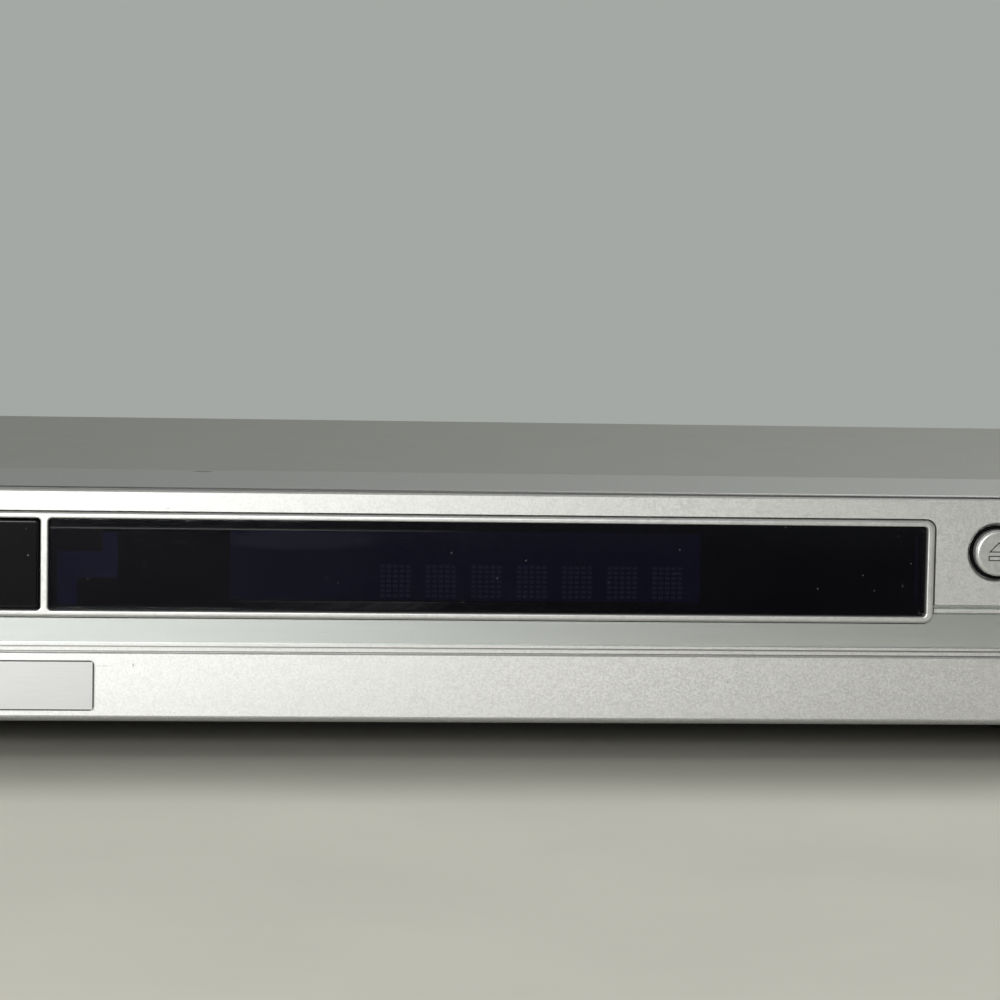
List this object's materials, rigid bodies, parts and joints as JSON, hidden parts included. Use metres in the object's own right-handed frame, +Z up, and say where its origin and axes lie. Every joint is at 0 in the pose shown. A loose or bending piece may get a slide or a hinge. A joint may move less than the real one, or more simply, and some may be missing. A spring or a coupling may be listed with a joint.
{
  "type": "disc player with tray",
  "caption": "Slim home disc player with a motorised front tray, a long dark display window, round front buttons and round jacks on the back.",
  "frame": {"origin": "on the surface that the player stands on, under the middle of its outline", "axes": "+X to the right seen from the front, -Y out of the front, +Z up"},
  "size_m": [0.43, 0.206, 0.043],
  "materials": {
    "silver_front": "fine metallic silver paint",
    "silver_frame": "satin silver paint",
    "smoked_window": "smoked, clear",
    "badge": "satin silver, bare",
    "red_light": "clear red",
    "black_plastic": "satin",
    "tube_glass": "grey glass",
    "circuit_board": "green solder mask",
    "grey_lid": "metallic grey paint",
    "zinc_steel": "zinc plated",
    "rubber_pad": "matt",
    "nickel": "nickel plated",
    "jack_colours": "coded colours",
    "chip_black": "moulded",
    "capacitor_sleeve": "sleeve",
    "aluminium_bare": "extruded",
    "ribbon_white": "flat cable",
    "grey_plastic": "moulded",
    "belt_rubber": "matt",
    "screw_steel": "plated",
    "tray_plastic": "moulded",
    "gloss_door": "gloss black",
    "white_nylon": "moulded",
    "die_cast": "die cast",
    "lens_glass": "coated",
    "button_silver": "metallic silver paint"
  },
  "bodies": {
    "housing": {"front_panel": "silver_front", "window_frame": "silver_frame", "display_window": "smoked_window", "badge_plate": "badge", "standby_light": "red_light", "display_holder": "black_plastic", "display_tube": "tube_glass", "front_board": "circuit_board", "front_switches": "black_plastic", "ir_receiver": "black_plastic", "power_switch_board": "circuit_board", "power_switch": "black_plastic", "top_cover": "grey_lid", "chassis": "zinc_steel", "rear_panel": "zinc_steel", "feet": "black_plastic", "foot_pads": "rubber_pad", "rca_housing": "black_plastic", "rca_barrels": "nickel", "rca_collars": "jack_colours", "power_inlet": "black_plastic", "inlet_pins": "nickel", "main_board": "circuit_board", "board_chips": "chip_black", "power_board": "circuit_board", "transformer": "chip_black", "capacitors": "capacitor_sleeve", "heat_sink": "aluminium_bare", "ribbon_cables": "ribbon_white", "loader_frame": "grey_plastic", "clamp_bridge": "zinc_steel", "loading_motor": "zinc_steel", "drive_belt": "belt_rubber", "cover_screws": "screw_steel", "rear_screws": "screw_steel", "inner_screws": "screw_steel"},
    "tray": {"disc_tray": "tray_plastic", "tray_door": "gloss_door"},
    "drive_gear_body": {"drive_gear": "white_nylon"},
    "pulley_gear_body": {"pulley_gear": "white_nylon"},
    "motor_pulley_body": {"motor_pulley": "white_nylon"},
    "cam": {"cam_slider": "white_nylon"},
    "traverse": {"traverse_frame": "grey_plastic", "dampers": "belt_rubber", "sled_base": "zinc_steel", "guide_rods": "nickel", "spindle_motor": "zinc_steel", "sled_motor": "zinc_steel"},
    "disc_turntable": {"turntable": "grey_plastic"},
    "clamp": {"clamp_puck": "tray_plastic"},
    "sled": {"pickup": "die_cast"},
    "lens": {"pickup_lens": "lens_glass"},
    "screw": {"sled_screw": "nickel"},
    "eject": {"button_eject": "button_silver"},
    "play": {"button_play": "button_silver"},
    "pause": {"button_pause": "button_silver"},
    "stop": {"button_stop": "button_silver"},
    "power": {"button_power": "button_silver"}
  },
  "joints": [
    {"name": "tray_slide", "type": "slide", "parent": "housing", "child": "tray", "axis": [0, -1, 0], "range_m": [0, 0.138]},
    {"name": "drive_gear_turn", "type": "hinge", "parent": "housing", "child": "drive_gear_body", "pos_m": [-0.0655, -0.079, 0.025], "axis": [0, 0, 1], "range_deg": [-569.8, 0]},
    {"name": "pulley_gear_turn", "type": "hinge", "parent": "housing", "child": "pulley_gear_body", "pos_m": [-0.0855, -0.079, 0.023], "axis": [0, 0, 1], "range_deg": [0, 1793.4]},
    {"name": "motor_pulley_turn", "type": "hinge", "parent": "housing", "child": "motor_pulley_body", "pos_m": [-0.1185, -0.079, 0.021], "axis": [0, 0, 1], "range_deg": [0, 5625.8]},
    {"name": "traverse_tilt", "type": "hinge", "parent": "housing", "child": "traverse", "pos_m": [-0.0945, 0.056, 0.024], "axis": [-1, 0, 0], "range_deg": [0, 6]},
    {"name": "cam_slide", "type": "slide", "parent": "housing", "child": "cam", "axis": [1, 0, 0], "range_m": [0, 0.0181]},
    {"name": "turntable_spin", "type": "hinge", "parent": "traverse", "child": "disc_turntable", "pos_m": [-0.0945, -0.02539, 0.02349], "axis": [0, -0.1045, 0.9945], "continuous": true},
    {"name": "clamp_spin", "type": "hinge", "parent": "housing", "child": "clamp", "pos_m": [-0.0945, -0.025, 0.0394], "axis": [0, 0, 1], "continuous": true},
    {"name": "pickup_slide", "type": "slide", "parent": "traverse", "child": "sled", "axis": [0, 0.9945, 0.1045], "range_m": [0, 0.034]},
    {"name": "sled_screw_turn", "type": "hinge", "parent": "traverse", "child": "screw", "pos_m": [-0.1215, 0.01645, 0.01763], "axis": [0, 0.9945, 0.1045], "range_deg": [0, 4085]},
    {"name": "lens_focus", "type": "slide", "parent": "sled", "child": "lens", "axis": [0, -0.1045, 0.9945], "range_m": [-0.0006, 0.0006], "stiffness_N_per_m": 60},
    {"name": "eject_press", "type": "slide", "parent": "housing", "child": "eject", "axis": [0, 1, 0], "range_m": [0, 0.0006], "stiffness_N_per_m": 1200, "springref_m": -0.0003},
    {"name": "play_press", "type": "slide", "parent": "housing", "child": "play", "axis": [0, 1, 0], "range_m": [0, 0.0006], "stiffness_N_per_m": 1200, "springref_m": -0.0003},
    {"name": "pause_press", "type": "slide", "parent": "housing", "child": "pause", "axis": [0, 1, 0], "range_m": [0, 0.0006], "stiffness_N_per_m": 1200, "springref_m": -0.0003},
    {"name": "stop_press", "type": "slide", "parent": "housing", "child": "stop", "axis": [0, 1, 0], "range_m": [0, 0.0006], "stiffness_N_per_m": 1200, "springref_m": -0.0003},
    {"name": "power_press", "type": "slide", "parent": "housing", "child": "power", "axis": [0, 1, 0], "range_m": [0, 0.0006], "stiffness_N_per_m": 1200, "springref_m": -0.0003}
  ],
  "couplings": [
    {"joint": "drive_gear_turn", "follows": "tray_slide", "rad_per_m": -71.429},
    {"joint": "pulley_gear_turn", "follows": "tray_slide", "rad_per_m": 226.19},
    {"joint": "motor_pulley_turn", "follows": "tray_slide", "rad_per_m": 710.88},
    {"joint": "cam_slide", "follows": "traverse_tilt", "m_per_rad": 0.17189},
    {"joint": "clamp_spin", "follows": "turntable_spin", "ratio": 1},
    {"joint": "sled_screw_turn", "follows": "pickup_slide", "rad_per_m": 2094.4}
  ]
}
